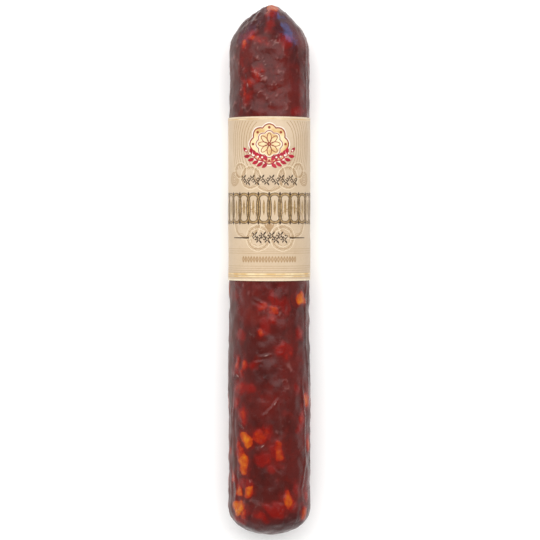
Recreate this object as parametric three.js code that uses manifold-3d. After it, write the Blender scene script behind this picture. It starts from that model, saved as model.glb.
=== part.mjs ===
// A cured sausage lying on a table: dark meat in a tight casing, a printed paper label wrapped round its
// upper part, and a crimped aluminium clip on the gathered neck of the casing at each end. Each neck is
// folded down under its end, so the clips don't show from above.
//
// Millimetres. Y runs along the sausage, with the labelled, pointed end at +Y. Z is up, with the table at
// Z = 0. The origin is on the table, under the middle of the sausage.

import * as THREE from "three";
import { ParametricGeometry } from "three/addons/geometries/ParametricGeometry.js";
import { mergeVertices } from "three/addons/utils/BufferGeometryUtils.js";
import Module from "manifold-3d";

const wasm = await Module();
wasm.setup();

// ---- Driving dimensions ----

// The stuffed casing.
const length = 300; // from one end to the other
const bodyRadius = 22.75; // where the label holds it
const restingFlatWidth = 14; // the strip under it, settled flat on the table, where it has bodyRadius

// Where it is fuller or leaner than that, past the label's lower edge.
const swells = [
  { fromLabel: 21.3, reach: 16, height: -0.15 },
  { fromLabel: 67.3, reach: 26, height: 0.75 },
  { fromLabel: 123.3, reach: 30, height: 0.3 },
];

// The two ends. Shoulder is how far an end's rounding reaches. Pointed is the shape of its plan: about 0.55
// is an ellipse and 1 is a cone with a round shoulder. Aside is how far its tip is from the middle, tipHeight
// how far above the axis, round how full its top is, and tuck how far behind its tip the neck leaves it.
const upperEnd = { outward: 1, shoulder: 28.4, pointed: 0.75, aside: 1.6, tipHeight: 2, round: 0.45, tuck: 6 };
const lowerEnd = { outward: -1, shoulder: 15.6, pointed: 0.52, aside: 1.8, tipHeight: 0, round: 0.6, tuck: 5 };

// The gathered neck of casing, oval, and its cut tail, which fans out past the clip.
const neckHalfWidth = 2.6; // across the sausage
const neckHalfDepth = 1.4;
const neckHeight = 14.6; // where the neck leaves the end, above the table
const neckLean = THREE.MathUtils.degToRad(18); // from straight down, towards the outside
const neckLength = 9.6; // to the cut edge of the tail
const tailHalfWidth = 4.4;
const tailHalfDepth = 0.9;

// The clips, of flattened aluminium wire.
const clipWall = 1.15; // the wire's thickness round the neck
const clipWidth = 2.4; // the wire's width along the neck
const clipFromEnd = 1.3; // from the neck's root to the clip
const clipSeam = 0.4; // the gap where the wire's two legs meet
const clipPocket = 1.3; // room between the clip and the end that is folded over it

// The paper label.
const labelLength = 91.7;
const labelFromEnd = 64; // from the upper end to the label's edge
const paper = 0.25;
const lapWidth = 9; // how far the glued seam overlaps
const lapAngle = THREE.MathUtils.degToRad(-50); // where the lap is: low on one side, off the resting strip
const liftRamp = 6; // length over which the body's underside eases up to its lift under the label

// Between pieces that touch.
const clearance = 0.3;

// How finely the round shapes are faceted.
const around = 56;
const barrelRings = 16;
const endRings = 16;
const neckRings = 5;

// ---- Places that follow from them ----

const axisHeight = Math.sqrt(bodyRadius ** 2 - (restingFlatWidth / 2) ** 2);
const labelTop = length / 2 - labelFromEnd;
const labelBottom = labelTop - labelLength;
const labelInside = bodyRadius + clearance;
const labelOutside = labelInside + paper;
const liftUnderLabel = paper + clearance;
const clipHalfDepth = neckHalfDepth + clearance + clipWall;

// The body's radius at a place along it, between the shoulders.
function barrelRadius(y) {
  return swells.reduce((radius, swell) => {
    const middle = labelBottom - swell.fromLabel;
    return radius + swell.height * Math.exp(-(((y - middle) / swell.reach) ** 2));
  }, bodyRadius);
}

// ---- The sausage's ends ----

const tipShare = 0.7; // how far through an end's rings its furthest point is
const gatherShare = 0.6; // how far through them the casing starts to gather into the neck
const underTip = 0.2; // how soon the outline turns in under the tip
const bellyLength = 0.6; // how far the underside runs level before it rounds up
const bellyRise = 0.4; // how soon it then stands upright behind the clip

// An end in side view: x is outward from the shoulder and y is the height. Two outlines run from the
// shoulder's top and bottom to the two sides of the neck's root, and each ring of the end spans them.
function endShape(end) {
  const shoulder = end.outward * (length / 2 - end.shoulder);
  const radius = barrelRadius(shoulder);
  const top = axisHeight + radius;
  const bottom = axisHeight - radius;
  const down = new THREE.Vector2(Math.sin(neckLean), -Math.cos(neckLean));
  const out = new THREE.Vector2(-down.y, down.x);
  const root = new THREE.Vector2(end.shoulder - end.tuck, neckHeight);
  const at = (along, across) => root.clone().addScaledVector(down, along).addScaledVector(out, across);

  const tip = new THREE.Vector2(end.shoulder, axisHeight + end.tipHeight);
  const drop = top - tip.y;
  const over = new THREE.CubicBezierCurve(
    new THREE.Vector2(0, top),
    new THREE.Vector2(end.shoulder * end.round, top),
    new THREE.Vector2(tip.x, tip.y + drop * end.round),
    tip,
  );
  const under = new THREE.CubicBezierCurve(
    tip,
    new THREE.Vector2(tip.x, tip.y - drop * underTip),
    at(-clipFromEnd, neckHalfDepth + clearance),
    at(0, neckHalfDepth),
  );

  const behindClip = at(clipFromEnd + clipWidth / 2, -clipHalfDepth - clipPocket);
  const belly = new THREE.CubicBezierCurve(
    new THREE.Vector2(0, bottom),
    new THREE.Vector2(behindClip.x * bellyLength, bottom),
    new THREE.Vector2(behindClip.x, behindClip.y * bellyRise),
    behindClip,
  );
  const pocket = new THREE.CubicBezierCurve(
    behindClip,
    new THREE.Vector2(behindClip.x, behindClip.y + clipWidth),
    at(-clipFromEnd, -neckHalfDepth - clipPocket),
    at(0, -neckHalfDepth),
  );
  return { shoulder, radius, at, out, upper: [over, under], lower: [belly, pocket] };
}

function outlinePoint([first, second], share) {
  return share < tipShare ? first.getPoint(share / tipShare) : second.getPoint((share - tipShare) / (1 - tipShare));
}

const shapes = new Map([upperEnd, lowerEnd].map((end) => [end, endShape(end)]));

// Half the end's width in plan, at a distance outward from its shoulder.
function planHalfWidth(end, outward) {
  const left = THREE.MathUtils.clamp(1 - outward / end.shoulder, 0, 1);
  return shapes.get(end).radius * Math.sin((Math.PI / 2) * left ** end.pointed);
}

// The widest that a ring can be and stay inside the end's plan.
function widestInPlan(end, middle, halfDepth) {
  const steps = 12;
  let widest = Infinity;
  for (let i = 2; i <= steps; i += 1) {
    const angle = (i / steps) * (Math.PI / 2);
    const width = planHalfWidth(end, middle + halfDepth * Math.cos(angle)) / Math.sin(angle);
    widest = Math.min(widest, width);
  }
  return widest;
}

// ---- The sausage's rings: a centre, a vector to the ring's top in the Y-Z plane, and a half width ----

function barrelRing(share) {
  const y = THREE.MathUtils.lerp(shapes.get(lowerEnd).shoulder, shapes.get(upperEnd).shoulder, share);
  const radius = barrelRadius(y);
  return { x: 0, y, z: axisHeight, upY: 0, upZ: radius, halfWidth: radius };
}

function endRing(end, share) {
  const { shoulder, upper, lower } = shapes.get(end);
  const high = outlinePoint(upper, share);
  const low = outlinePoint(lower, share);
  const middle = (high.x + low.x) / 2;
  const halfDepth = (high.x - low.x) / 2;
  const gathered = THREE.MathUtils.smoothstep(share, gatherShare, 1);
  return {
    x: end.aside * share ** 2,
    y: shoulder + end.outward * middle,
    z: (high.y + low.y) / 2,
    upY: end.outward * halfDepth,
    upZ: (high.y - low.y) / 2,
    halfWidth: THREE.MathUtils.lerp(widestInPlan(end, middle, halfDepth), neckHalfWidth, gathered),
  };
}

// The neck is straight through its clip, and fans out from there to its cut edge.
function neckRing(end, share) {
  const { shoulder, at, out } = shapes.get(end);
  const middle = at(THREE.MathUtils.lerp(clipFromEnd + clipWidth + clearance, neckLength, share), 0);
  const fan = THREE.MathUtils.smoothstep(share, 0, 1);
  const halfDepth = THREE.MathUtils.lerp(neckHalfDepth, tailHalfDepth, fan);
  return {
    x: end.aside,
    y: shoulder + end.outward * middle.x,
    z: middle.y,
    upY: end.outward * out.x * halfDepth,
    upZ: out.y * halfDepth,
    halfWidth: THREE.MathUtils.lerp(neckHalfWidth, tailHalfWidth, fan),
  };
}

// All rings from the lower end's tail to the upper end's, closed by a point at each cut edge.
function bodyRings() {
  const rings = [];
  for (let i = neckRings; i >= 0; i -= 1) rings.push(neckRing(lowerEnd, i / neckRings));
  for (let i = endRings; i > 0; i -= 1) rings.push(endRing(lowerEnd, i / endRings));
  for (let i = 0; i <= barrelRings; i += 1) rings.push(barrelRing(i / barrelRings));
  for (let i = 1; i <= endRings; i += 1) rings.push(endRing(upperEnd, i / endRings));
  for (let i = 0; i <= neckRings; i += 1) rings.push(neckRing(upperEnd, i / neckRings));
  const closed = (ring) => ({ ...ring, upY: 0, upZ: 0, halfWidth: 0 });
  return [closed(rings[0]), ...rings, closed(rings[rings.length - 1])];
}

function bodyGeometry() {
  const rings = bodyRings();
  return new ParametricGeometry(
    (turn, share, target) => {
      const ring = rings[Math.round(share * (rings.length - 1))];
      const up = Math.cos(turn * 2 * Math.PI);
      const across = Math.sin(turn * 2 * Math.PI);
      target.set(ring.x + ring.halfWidth * across, ring.y + ring.upY * up, ring.z + ring.upZ * up);
    },
    around,
    rings.length - 1,
  );
}

// The space under the table, and over it the shallow lift that the label's paper needs.
function tableGeometry() {
  const side = new THREE.Shape();
  side.moveTo(-length, -length / 4);
  side.lineTo(length, -length / 4);
  side.lineTo(length, 0);
  side.lineTo(labelTop + clearance + liftRamp, 0);
  side.lineTo(labelTop + clearance, liftUnderLabel);
  side.lineTo(labelBottom - clearance, liftUnderLabel);
  side.lineTo(labelBottom - clearance - liftRamp, 0);
  side.lineTo(-length, 0);
  side.closePath();
  const block = new THREE.ExtrudeGeometry(side, { depth: length, bevelEnabled: false });
  block.translate(0, 0, -length / 2);
  // The shape's x, its y and its depth become Y, Z and X.
  return block.applyMatrix4(new THREE.Matrix4().makeBasis(
    new THREE.Vector3(0, 1, 0),
    new THREE.Vector3(0, 0, 1),
    new THREE.Vector3(1, 0, 0),
  ));
}

// ---- The label ----

// A circle round the sausage's axis, cut off flat at a height above the table.
function wrapOutline(radius, height) {
  const edge = Math.asin((axisHeight - height) / radius);
  const path = new THREE.Path();
  path.absarc(0, 0, radius, -edge, Math.PI + edge, false);
  path.closePath();
  return path;
}

function labelGeometry() {
  const wrap = new THREE.Shape(wrapOutline(labelOutside, 0).getPoints(around));
  wrap.holes.push(new THREE.Path(wrapOutline(labelInside, paper).getPoints(around)));
  return standing(new THREE.ExtrudeGeometry(wrap, { depth: labelLength, bevelEnabled: false }));
}

// The paper's outer end, glued over the inner one.
function lapGeometry() {
  const half = lapWidth / 2 / labelOutside;
  const lap = new THREE.Shape();
  lap.absarc(0, 0, labelOutside + paper, lapAngle - half, lapAngle + half, false);
  lap.absarc(0, 0, labelInside + paper / 2, lapAngle + half, lapAngle - half, true);
  lap.closePath();
  return standing(new THREE.ExtrudeGeometry(lap, { depth: labelLength, bevelEnabled: false, curveSegments: 6 }));
}

// Turns an extrusion of a cross-section so that it runs along -Y from the label's upper edge.
function standing(geometry) {
  return geometry.rotateX(Math.PI / 2).translate(0, labelTop, axisHeight);
}

// ---- The clips ----

// An oval ring round the neck, centred on the origin: from a gap off the neck to a reach from its surface.
function ringGeometry(gap, reach, width) {
  const oval = (path, grow) => path.absellipse(0, 0, neckHalfWidth + grow, neckHalfDepth + grow, 0, 2 * Math.PI);
  const ring = oval(new THREE.Shape(), reach);
  ring.holes.push(oval(new THREE.Path(), gap));
  const geometry = new THREE.ExtrudeGeometry(ring, { depth: width, bevelEnabled: false, curveSegments: 14 });
  return geometry.translate(0, 0, -width / 2);
}

// Where a clip sits: its axis along the neck, and its seam on the side away from the sausage.
function onNeck(end) {
  const { shoulder, at } = shapes.get(end);
  const middle = at(clipFromEnd + clipWidth / 2, 0);
  const turn = new THREE.Euler(neckLean, 0, end.outward > 0 ? 0 : Math.PI, "ZXY");
  const place = new THREE.Matrix4().makeRotationFromEuler(turn);
  return place.setPosition(end.aside, shoulder + end.outward * middle.x, middle.y);
}

// The gap between the wire's legs.
function seamGeometry() {
  const reach = clipHalfDepth + clearance;
  return new THREE.BoxGeometry(clipSeam, reach, 2 * clipWidth).translate(0, reach / 2, 0);
}

// ---- Solids and meshes ----

function solidFrom(geometry) {
  const plain = geometry.index ? geometry.toNonIndexed() : geometry.clone();
  plain.deleteAttribute("normal");
  plain.deleteAttribute("uv");
  const merged = mergeVertices(plain, 1e-4);
  return new wasm.Manifold(new wasm.Mesh({
    numProp: 3,
    vertProperties: merged.getAttribute("position").array,
    triVerts: new Uint32Array(merged.index.array),
  }));
}

function geometryFrom(solid) {
  const { vertProperties, triVerts } = solid.getMesh();
  const geometry = new THREE.BufferGeometry();
  geometry.setAttribute("position", new THREE.BufferAttribute(vertProperties, 3));
  geometry.setIndex(new THREE.BufferAttribute(triVerts, 1));
  geometry.computeVertexNormals();
  return geometry;
}

function piece(name, solid, finish) {
  const mesh = new THREE.Mesh(geometryFrom(solid), finish);
  mesh.name = name;
  return mesh;
}

const casingFinish = new THREE.MeshStandardMaterial({ color: 0x6b2a26, roughness: 0.3, metalness: 0 });
const paperFinish = new THREE.MeshStandardMaterial({ color: 0xdec5aa, roughness: 0.55, metalness: 0 });
const clipFinish = new THREE.MeshStandardMaterial({ color: 0xb8babd, roughness: 0.35, metalness: 1 });

// The end gives way round its clip, so the seat pressed into it is the clip with its clearance.
function stuffedCasing() {
  const seat = ringGeometry(clearance / 2, clipWall + 2 * clearance, clipWidth + 2 * clearance);
  return [upperEnd, lowerEnd].reduce(
    (solid, end) => solid.subtract(solidFrom(seat.clone().applyMatrix4(onNeck(end)))),
    solidFrom(bodyGeometry()).subtract(solidFrom(tableGeometry())),
  );
}

const sausage = piece("sausage", stuffedCasing(), casingFinish);
const label = piece("label_band", solidFrom(labelGeometry()).add(solidFrom(lapGeometry())), paperFinish);

function clip(name, end) {
  const ring = solidFrom(ringGeometry(clearance, clearance + clipWall, clipWidth));
  const made = piece(name, ring.subtract(solidFrom(seamGeometry())), clipFinish);
  made.applyMatrix4(onNeck(end));
  return made;
}

const curedSausage = new THREE.Group();
curedSausage.add(sausage, label, clip("upper_end_clip", upperEnd), clip("lower_end_clip", lowerEnd));

export default curedSausage;
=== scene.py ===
import bpy
import numpy as np
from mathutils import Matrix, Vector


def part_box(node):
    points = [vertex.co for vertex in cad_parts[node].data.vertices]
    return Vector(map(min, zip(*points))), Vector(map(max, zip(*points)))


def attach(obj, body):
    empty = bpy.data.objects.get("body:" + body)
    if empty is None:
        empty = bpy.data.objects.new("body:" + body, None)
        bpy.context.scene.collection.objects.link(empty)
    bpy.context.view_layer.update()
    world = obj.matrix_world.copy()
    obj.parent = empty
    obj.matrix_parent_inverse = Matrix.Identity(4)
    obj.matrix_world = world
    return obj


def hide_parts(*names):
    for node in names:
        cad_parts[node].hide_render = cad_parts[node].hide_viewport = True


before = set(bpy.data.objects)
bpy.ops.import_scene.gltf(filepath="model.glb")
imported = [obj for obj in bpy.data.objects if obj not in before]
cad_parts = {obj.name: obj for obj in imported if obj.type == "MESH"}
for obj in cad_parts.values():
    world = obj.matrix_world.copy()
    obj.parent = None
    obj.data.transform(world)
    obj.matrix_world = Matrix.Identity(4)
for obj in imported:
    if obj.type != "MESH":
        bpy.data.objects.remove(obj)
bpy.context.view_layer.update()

# Lengths are in millimetres up to the line that makes each mesh, and in Blender's metres after it. Y runs
# along the sausage, with the labelled end at +Y, X across it, and Z up from the table.


# ---- The sausage ----
# Coarse cured meat with pieces of paprika-stained fat, stuffed tight into a fibrous casing and dried until
# the casing clings to every lump. The casing is gathered into a neck at each end, where it is clipped, and
# the neck and its cut tail are folded down under the end.

MM = 0.001
body_low, body_high = (np.array(corner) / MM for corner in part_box("sausage"))
band_low, band_high = (np.array(corner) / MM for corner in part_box("label_band"))

paper = 0.25
paper_gap = 0.3
band_radius = (band_high[0] - band_low[0]) / 2
body_radius = band_radius - paper - paper_gap
axis_height = band_high[2] - band_radius
half_length = (body_high[1] - body_low[1]) / 2

# Fuller and leaner places past the label: distance from its lower edge, reach, height.
swells = ((21.3, 16, -0.15), (67.3, 26, 0.75), (123.3, 30, 0.3))

neck_half_width = 2.6
neck_half_depth = 1.4
neck_lean = np.radians(18)
neck_length = 9.6
tail_half_width = 4.4
tail_half_depth = 0.9
clip_from_end = 1.3
clip_width = 2.4
clip_wall = 1.15
clip_gap = 0.3

upper_end = dict(outward=1, shoulder=28.4, pointed=0.75, aside=1.6, tip_height=2.0, fullness=0.45,
                 clip="upper_end_clip")
lower_end = dict(outward=-1, shoulder=15.6, pointed=0.52, aside=1.8, tip_height=0.0, fullness=0.6,
                 clip="lower_end_clip")


def smooth(low, high, value):
    """0 before low and 1 past high, with the cubic 3t^2 - 2t^3 between them."""
    t = np.clip((value - low) / (high - low), 0, 1)
    return t * t * (3 - 2 * t)


def bezier(a, b, c, d, share):
    """The cubic from a to d that leaves towards b and arrives from c, at each share of the way."""
    t = share[:, None]
    return (1 - t) ** 3 * a + 3 * t * (1 - t) ** 2 * b + 3 * t**2 * (1 - t) * c + t**3 * d


def barrel_radius(y):
    """The held radius plus a bell, height * exp(-(distance / reach)^2), for each swell."""
    return body_radius + sum(h * np.exp(-(((y - band_low[1] + d) / reach) ** 2)) for d, reach, h in swells)


def ring_rows(x, y, z, up_y, up_z, half_width):
    """Rings as rows of centre, vector to the ring's top, and half width across."""
    return np.column_stack(np.broadcast_arrays(x, y, z, up_y, up_z, half_width)).astype(float)


def neck_point(end, along, across):
    """A point of the neck in side view: outward from the shoulder, and height. Along runs down the neck,
    which leans outwards, and across away from the sausage."""
    down = np.array([np.sin(neck_lean), -np.cos(neck_lean)])
    out = np.array([np.cos(neck_lean), np.sin(neck_lean)])
    low, high = (np.array(corner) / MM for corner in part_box(end["clip"]))
    middle = np.array([end["outward"] * (low[1] + high[1]) / 2 - (half_length - end["shoulder"]),
                       (low[2] + high[2]) / 2])
    root = middle - (clip_from_end + clip_width / 2) * down
    return root + np.multiply.outer(along, down) + np.multiply.outer(across, out)


def end_rings(end, over_count=58, under_count=24, neck_count=16):
    """Rings from a shoulder to the cut edge of the tail. In side view two outlines, each of two cubics, run
    from the top and the bottom to the neck, and a ring spans them. In plan an end is sin(pi/2 * t^pointed)
    wide, t being the distance from its tip over its shoulder, and each ring is as wide as fits in that."""
    shoulder = half_length - end["shoulder"]
    radius = barrel_radius(end["outward"] * shoulder)
    top, bottom = axis_height + radius, axis_height - radius
    tip = np.array([end["shoulder"], axis_height + end["tip_height"]])
    drop = top - tip[1]
    clip_reach = neck_half_depth + clip_gap + clip_wall
    pocket = 1.3
    behind_clip = neck_point(end, clip_from_end + clip_width / 2, -clip_reach - pocket)

    over = np.linspace(0, 1, over_count + 1)[1:]
    under = np.linspace(0, 1, under_count + 1)[1:]
    high = np.vstack([
        bezier(np.array([0, top]), np.array([end["shoulder"] * end["fullness"], top]),
               tip + [0, drop * end["fullness"]], tip, over),
        bezier(tip, tip - [0, drop * 0.2], neck_point(end, -clip_from_end, neck_half_depth + clip_gap),
               neck_point(end, 0, neck_half_depth), under)])
    low = np.vstack([
        bezier(np.array([0, bottom]), np.array([behind_clip[0] * 0.6, bottom]),
               behind_clip * [1, 0.4], behind_clip, over),
        bezier(behind_clip, behind_clip + [0, clip_width],
               neck_point(end, -clip_from_end, -neck_half_depth - pocket),
               neck_point(end, 0, -neck_half_depth), under)])
    tip_at, gathers_from = 0.7, 0.6
    share = np.concatenate([tip_at * over, tip_at + (1 - tip_at) * under])
    middle, half_depth = (high + low) / 2, (high - low) / 2

    # A ring reaches outwards less the further round it from its top, so its width is tried at each turn.
    angle = np.radians(np.linspace(15, 90, 16))
    reach = middle[:, :1] + half_depth[:, :1] * np.cos(angle)
    left = np.clip(1 - reach / end["shoulder"], 0, 1)
    widest = (radius * np.sin(np.pi / 2 * left ** end["pointed"]) / np.sin(angle)).min(axis=1)
    gathered = smooth(gathers_from, 1, share)
    dome = ring_rows(end["aside"] * share**2, end["outward"] * (shoulder + middle[:, 0]), middle[:, 1],
                     end["outward"] * half_depth[:, 0], half_depth[:, 1],
                     widest + (neck_half_width - widest) * gathered)

    first_ring = 0.6
    straight_to = clip_from_end + clip_width + clip_gap
    along = np.concatenate([np.linspace(first_ring, straight_to, 6),
                            np.linspace(straight_to, neck_length, neck_count)[1:]])
    fan = smooth(straight_to, neck_length, along)
    middle = neck_point(end, along, 0)
    half_depth = neck_half_depth + (tail_half_depth - neck_half_depth) * fan
    neck = ring_rows(end["aside"], end["outward"] * (shoulder + middle[:, 0]), middle[:, 1],
                     end["outward"] * np.cos(neck_lean) * half_depth, np.sin(neck_lean) * half_depth,
                     neck_half_width + (tail_half_width - neck_half_width) * fan)
    return np.vstack([dome, neck])


def barrel_rings():
    """Round rings between the shoulders: closely spaced where the casing shows, and further apart under
    the label."""
    seen_under_edge = 4
    bare_step, covered_step = 0.62, 4.0
    low = -(half_length - lower_end["shoulder"])
    high = half_length - upper_end["shoulder"]
    stops = (low, band_low[1] + seen_under_edge, band_high[1] - seen_under_edge, high)
    steps = (bare_step, covered_step, bare_step)
    y = np.concatenate([
        np.linspace(a, b, int(np.ceil((b - a) / step)), endpoint=False)
        for a, b, step in zip(stops, stops[1:], steps)] + [[high]])
    radius = barrel_radius(y)
    return ring_rows(0, y, axis_height, 0, radius, radius)


rings = np.vstack([end_rings(lower_end)[::-1], barrel_rings(), end_rings(upper_end)])
around = 192
turn = np.arange(around) * 2 * np.pi / around
skin = np.repeat(rings[:, None, :3], around, axis=1)
skin[..., 0] += rings[:, 5:6] * np.sin(turn)
skin[..., 1] += rings[:, 3:4] * np.cos(turn)
skin[..., 2] += rings[:, 4:5] * np.cos(turn)


def outward_directions(grid):
    """Unit normals of a grid whose second direction closes on itself: the cross product of the two
    differences between neighbours."""
    along = np.gradient(grid, axis=0)
    round_it = np.roll(grid, -1, axis=1) - np.roll(grid, 1, axis=1)
    normal = np.cross(round_it, along)
    return normal / np.maximum(np.linalg.norm(normal, axis=2, keepdims=True), 1e-9)


def waves(points, wavelength, count, rng, stretch=(1, 1, 1)):
    """Smooth noise of unit spread: a sum of cosines of random direction and phase, with wavelengths within
    a third of the given one. Stretch lengthens them along each axis."""
    direction = rng.normal(size=(count, 3))
    direction /= np.linalg.norm(direction, axis=1, keepdims=True)
    pitch = 2 * np.pi / (wavelength * rng.uniform(0.67, 1.33, count))
    vector = direction * pitch[:, None] / np.array(stretch)
    phase = rng.uniform(0, 2 * np.pi, count)
    flat = points.reshape(-1, 3)
    total = np.zeros(len(flat))
    for v, p in zip(vector, phase):
        total += np.cos(flat @ v + p)
    return (total * np.sqrt(2 / count)).reshape(points.shape[:-1])


# The pieces of fat and of red lean that show through the casing, as seen from above. Each has its place
# along the sausage from its middle and across it, its length along and width round it, a turn in degrees,
# how square its corners are (1.3 a lozenge, 2 an oval, 4 a block), a tone from 0, red, to 1, yellow, and
# how deep it lies behind the casing, from 0 to 1.
seen_pieces = (
    (147.4, 1.8, 10, 7.4, 0, 2.6, 0.85, 0.0),
    (143.6, 1.4, 6, 5.4, 0, 2.0, 0.2, 0.2),
    (137, 0, 8, 3.4, 0, 2.0, 0.0, 0.8),
    (132.2, -9.7, 3.2, 5, 20, 2.0, 0.1, 0.3),
    (129.4, -9, 3.2, 12, -12, 2.6, 0.45, 0.3),
    (126.9, -14, 6, 3.4, 8, 2.2, 0.78, 0.15),
    (128.6, 9, 6, 8, 30, 2.0, 0.0, 0.6),
    (114.4, -14.2, 5, 2, 25, 2.0, 0.85, 0.1),
    (109.9, -7.4, 6.4, 4.6, 15, 2.6, 0.28, 0.05),
    (105.8, -11, 4.4, 4.8, -20, 2.4, 0.22, 0.1),
    (111.6, -4, 4.4, 2.2, 25, 2.0, 0.5, 0.3),
    (101.2, -13.7, 8.4, 3.2, 6, 2.2, 0.52, 0.05),
    (96, -12.6, 6, 4.6, 10, 2.0, 0.12, 0.45),
    (89, 16, 3, 8, 0, 2.2, 0.02, 0.8),
    (-16.2, 17.7, 7, 7.4, 20, 3.0, 0.84, 0.05),
    (-19.8, -3.9, 4.4, 5.6, 20, 2.8, 0.5, 0.15),
    (-21.9, 1.9, 4.2, 6.2, -14, 3.0, 0.62, 0.05),
    (-16.8, 3, 7, 5, 10, 2.0, 0.12, 0.35),
    (-26.2, 1.9, 5, 4.2, 0, 2.4, 0.24, 0.05),
    (-20.5, 8.4, 8, 5.4, 5, 2.0, 0.0, 0.55),
    (-30, -2, 9, 5, 0, 2.0, 0.0, 0.7),
    (-34.4, -4.6, 4, 2.8, 0, 2.4, 0.6, 0.15),
    (-35.5, 16.9, 6, 5.2, 10, 2.2, 0.36, 0.15),
    (-43.8, 7.8, 6.4, 8.6, 10, 2.4, 0.12, 0.05),
    (-46.6, 10, 5, 4, -35, 2.2, 0.34, 0.05),
    (-14.3, -20.2, 5, 6, 0, 2.0, 0.1, 0.4),
    (-36.5, -16.2, 6, 6, -35, 2.0, 0.02, 0.45),
    (-53, -18.2, 6, 3.4, 0, 3.4, 0.58, 0.25),
    (-52.4, -13.9, 5, 3.8, 10, 2.8, 0.52, 0.15),
    (-57.4, -15.7, 3, 2.4, 0, 2.4, 0.6, 0.35),
    (-56.4, -18.6, 3, 3, 0, 2.4, 0.4, 0.5),
    (-66, -16.8, 6, 8.4, 0, 2.6, 0.26, 0.15),
    (-65, -11.3, 4, 5, 0, 2.0, 0.12, 0.6),
    (-74.2, -18.6, 6, 6, 15, 2.2, 0.32, 0.2),
    (-80.7, -15.1, 9, 6.4, 8, 2.0, 0.3, 0.0),
    (-79.4, -15.4, 4.4, 4, 8, 2.0, 0.42, 0.0),
    (-66.5, 16.2, 4, 3.6, 0, 2.0, 0.02, 0.4),
    (-73, 21, 11, 6.2, 0, 2.6, 0.66, 0.1),
    (-83.3, 18.4, 9.4, 4.2, -14, 2.2, 0.46, 0.05),
    (-89, 17.2, 5, 3, -10, 2.0, 0.1, 0.3),
    (-53, -8.9, 4, 3.6, 0, 2.0, 0.0, 0.5),
    (-95, -12.6, 9.4, 6.8, 24, 2.6, 0.96, 0.0),
    (-92.6, -5.6, 8.4, 8.4, 35, 1.8, 0.46, 0.0),
    (-90.6, -1.6, 7, 6, 10, 2.0, 0.14, 0.1),
    (-99, -17.2, 8, 3.6, 5, 2.4, 0.42, 0.05),
    (-107.6, -14.6, 12.4, 6.6, 12, 2.6, 0.88, 0.0),
    (-102, -16.4, 9, 5.4, 12, 2.4, 0.6, 0.0),
    (-101.6, 5.4, 12, 5.2, 8, 3.2, 0.6, 0.0),
    (-101.6, 2.6, 11, 3, 8, 2.4, 0.08, 0.1),
    (-105.5, -3, 6.6, 10, 0, 2.2, 0.1, 0.2),
    (-110, 0.6, 5, 4.4, 0, 2.0, 0.06, 0.3),
    (-98, 22, 9, 5, 0, 2.4, 0.6, 0.2),
    (-102.6, -22, 4.4, 5, 0, 2.4, 0.62, 0.25),
    (-115.2, -20.2, 7, 5, 0, 2.2, 0.58, 0.15),
    (-123.6, -17, 7.4, 5.4, 10, 2.8, 0.76, 0.0),
    (-123, -12.2, 7.4, 6, -18, 2.4, 0.76, 0.0),
    (-119.4, -14, 6, 9, 0, 2.0, 0.04, 0.35),
    (-122, 15.2, 5, 4.6, 0, 2.0, 0.0, 0.6),
    (-133, -17.4, 8.6, 10, 38, 3.4, 1.0, 0.0),
    (-136.2, -14.2, 6, 6, 30, 2.6, 0.7, 0.0),
    (-128.6, 11, 11, 6.6, 34, 2.4, 0.74, 0.0),
    (-132, 13.6, 6, 6, 0, 2.2, 0.34, 0.05),
    (-134, 4.8, 8, 12, -12, 2.2, 0.08, 0.05),
    (-137.2, -4.8, 4.4, 7, -25, 2.2, 0.26, 0.1),
    (-127.6, 21, 8, 3.6, 0, 2.4, 0.36, 0.3),
    (-136.4, 20, 8, 4.6, 10, 2.8, 0.76, 0.05),
    (-140, -17.2, 4, 6.4, 0, 2.0, 0.2, 0.3),
)


def on_top(along, across):
    """The ring, and the place round it, of the upper half's point nearest to a place seen from above."""
    distance = (skin[..., 0] - across) ** 2 + (skin[..., 1] - along) ** 2
    distance[skin[..., 2] < axis_height] = np.inf
    return np.unravel_index(np.argmin(distance), distance.shape)


# Out of that view the pieces are scattered at random, about as densely, where the casing shows and a ring
# is wide enough.
rng = np.random.default_rng(41)
scattered_count = 90
narrowest_ring = 12
pieces = [(*on_top(along, across), *rest) for along, across, *rest in seen_pieces]
y = skin[..., 1]
past_label = np.maximum(y - band_high[1], band_low[1] - y)
scatter_rows = np.flatnonzero((past_label[:, 0] > 0) & (rings[:, 5] > narrowest_ring))
for row in rng.choice(scatter_rows, scattered_count):
    long = rng.uniform(3.5, 12)
    pieces.append((row, int(rng.uniform(0.23, 0.77) * around), long, long * rng.uniform(0.45, 1.0),
                   rng.uniform(-40, 40), rng.uniform(1.8, 3.4), rng.beta(1.1, 1.2), rng.uniform(0, 0.5)))

# For each point of the casing: how far it is inside the edge of the piece that it lies deepest in, in
# millimetres, with a wobble that makes the edges uneven, and that piece's tone and depth.
normals = outward_directions(skin)
wobble = 0.42 * waves(skin, 5.5, 40, rng) + 0.12 * waves(skin, 2.4, 40, rng)
far_outside = -6.0
edge = np.full(skin.shape[:2], far_outside)
tone = np.zeros(skin.shape[:2])
depth = np.zeros(skin.shape[:2])
for row, column, long, wide, turned, corner, piece_tone, piece_depth in pieces:
    along = skin[min(row + 1, len(skin) - 1), column] - skin[row - 1, column]
    along /= np.linalg.norm(along)
    across = np.cross(normals[row, column], along)
    cos, sin = np.cos(np.radians(turned)), np.sin(np.radians(turned))
    offset = skin - skin[row, column]
    u = np.abs(offset @ (along * cos + across * sin)) / (long / 2)
    v = np.abs(offset @ (across * cos - along * sin)) / (wide / 2)
    inside = (1 - (u**corner + v**corner) ** (1 / corner)) * min(long, wide) / 2 + wobble
    inside[(normals @ normals[row, column]) < 0.2] = far_outside
    closer = inside > edge
    edge[closer] = inside[closer]
    tone[closer] = piece_tone
    depth[closer] = piece_depth

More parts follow.
